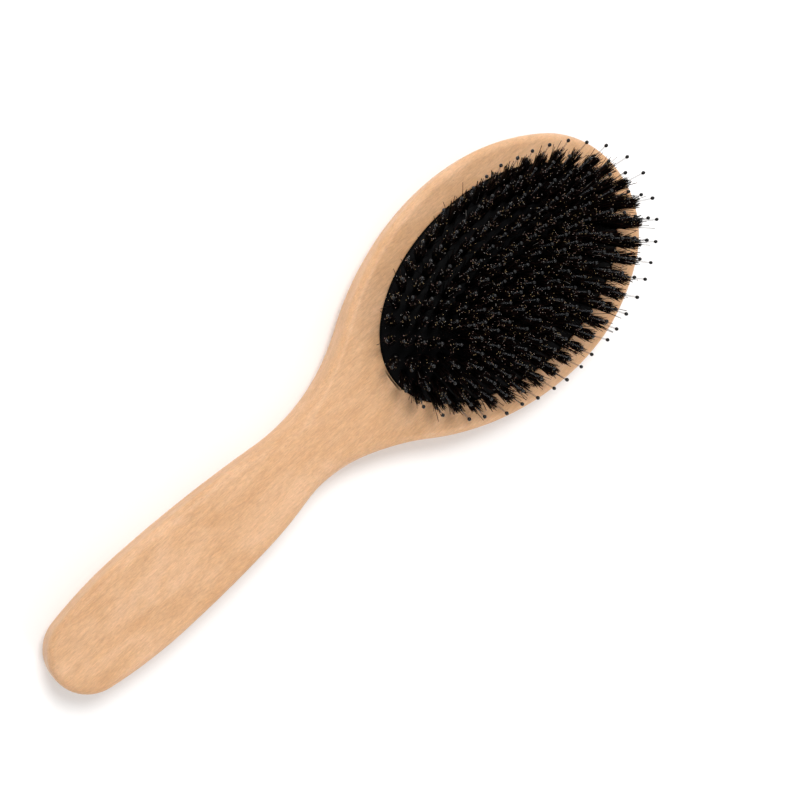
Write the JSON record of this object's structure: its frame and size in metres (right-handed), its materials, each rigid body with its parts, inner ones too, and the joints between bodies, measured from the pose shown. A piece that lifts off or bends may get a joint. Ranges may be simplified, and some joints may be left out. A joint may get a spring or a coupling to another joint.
{
  "type": "cushion hairbrush",
  "caption": "Oval wooden hairbrush with a domed black rubber cushion, black bristle tufts and longer ball-tipped nylon pins; the cushion gives when pressed.",
  "frame": {"origin": "on the flat back of the wooden body, under the middle of the brush's length", "axes": "+X along the brush from the handle to the tip of the head, +Y across it, +Z out of the brushing face through the bristles"},
  "size_m": [0.246, 0.0788, 0.0429],
  "materials": {
    "light_wood": "pale fine-grained hardwood such as maple or beech, sanded smooth, clear satin lacquer",
    "black_rubber": "matt black moulded rubber",
    "boar_bristle": "black natural bristle with golden-brown cut tips, soft sheen along the hair",
    "clear_nylon": "clear, slightly milky nylon filament",
    "black_bead": "glossy black bead",
    "black_knob": "plain moulded black plastic, hidden behind the cushion"
  },
  "bodies": {
    "brush_body": {"wooden_body": "light_wood", "rubber_pad": "black_rubber"},
    "outer_ring": {"outer_ring_bristles": "boar_bristle", "outer_ring_pins": "clear_nylon", "outer_ring_ball_tips": "black_bead", "outer_ring_root_knobs": "black_knob"},
    "second_ring": {"second_ring_bristles": "boar_bristle", "second_ring_pins": "clear_nylon", "second_ring_ball_tips": "black_bead", "second_ring_root_knobs": "black_knob"},
    "third_ring": {"third_ring_bristles": "boar_bristle", "third_ring_pins": "clear_nylon", "third_ring_ball_tips": "black_bead", "third_ring_root_knobs": "black_knob"},
    "fourth_ring": {"fourth_ring_bristles": "boar_bristle", "fourth_ring_pins": "clear_nylon", "fourth_ring_ball_tips": "black_bead", "fourth_ring_root_knobs": "black_knob"},
    "fifth_ring": {"fifth_ring_bristles": "boar_bristle", "fifth_ring_pins": "clear_nylon", "fifth_ring_ball_tips": "black_bead", "fifth_ring_root_knobs": "black_knob"},
    "inner_ring": {"inner_ring_bristles": "boar_bristle", "inner_ring_pins": "clear_nylon", "inner_ring_ball_tips": "black_bead", "inner_ring_root_knobs": "black_knob"},
    "centre_row": {"centre_row_bristles": "boar_bristle", "centre_row_pins": "clear_nylon", "centre_row_ball_tips": "black_bead", "centre_row_root_knobs": "black_knob"}
  },
  "joints": [
    {"name": "outer_ring_press", "type": "slide", "parent": "brush_body", "child": "outer_ring", "axis": [0, 0, -1], "range_m": [0, 0.000755], "stiffness_N_per_m": 120, "springref_m": -0.001},
    {"name": "second_ring_press", "type": "slide", "parent": "brush_body", "child": "second_ring", "axis": [0, 0, -1], "range_m": [0, 0.0015], "stiffness_N_per_m": 120, "springref_m": -0.001},
    {"name": "third_ring_press", "type": "slide", "parent": "brush_body", "child": "third_ring", "axis": [0, 0, -1], "range_m": [0, 0.00208], "stiffness_N_per_m": 120, "springref_m": -0.001},
    {"name": "fourth_ring_press", "type": "slide", "parent": "brush_body", "child": "fourth_ring", "axis": [0, 0, -1], "range_m": [0, 0.00252], "stiffness_N_per_m": 120, "springref_m": -0.001},
    {"name": "fifth_ring_press", "type": "slide", "parent": "brush_body", "child": "fifth_ring", "axis": [0, 0, -1], "range_m": [0, 0.00281], "stiffness_N_per_m": 120, "springref_m": -0.001},
    {"name": "inner_ring_press", "type": "slide", "parent": "brush_body", "child": "inner_ring", "axis": [0, 0, -1], "range_m": [0, 0.00296], "stiffness_N_per_m": 120, "springref_m": -0.001},
    {"name": "centre_row_press", "type": "slide", "parent": "brush_body", "child": "centre_row", "axis": [0, 0, -1], "range_m": [0, 0.003], "stiffness_N_per_m": 300, "springref_m": -0.001, "deforming": ["rubber_pad"]}
  ],
  "couplings": [
    {"joint": "outer_ring_press", "follows": "centre_row_press", "ratio": 0.251},
    {"joint": "second_ring_press", "follows": "centre_row_press", "ratio": 0.49893},
    {"joint": "third_ring_press", "follows": "centre_row_press", "ratio": 0.69384},
    {"joint": "fourth_ring_press", "follows": "centre_row_press", "ratio": 0.83806},
    {"joint": "fifth_ring_press", "follows": "centre_row_press", "ratio": 0.93444},
    {"joint": "inner_ring_press", "follows": "centre_row_press", "ratio": 0.9868}
  ]
}
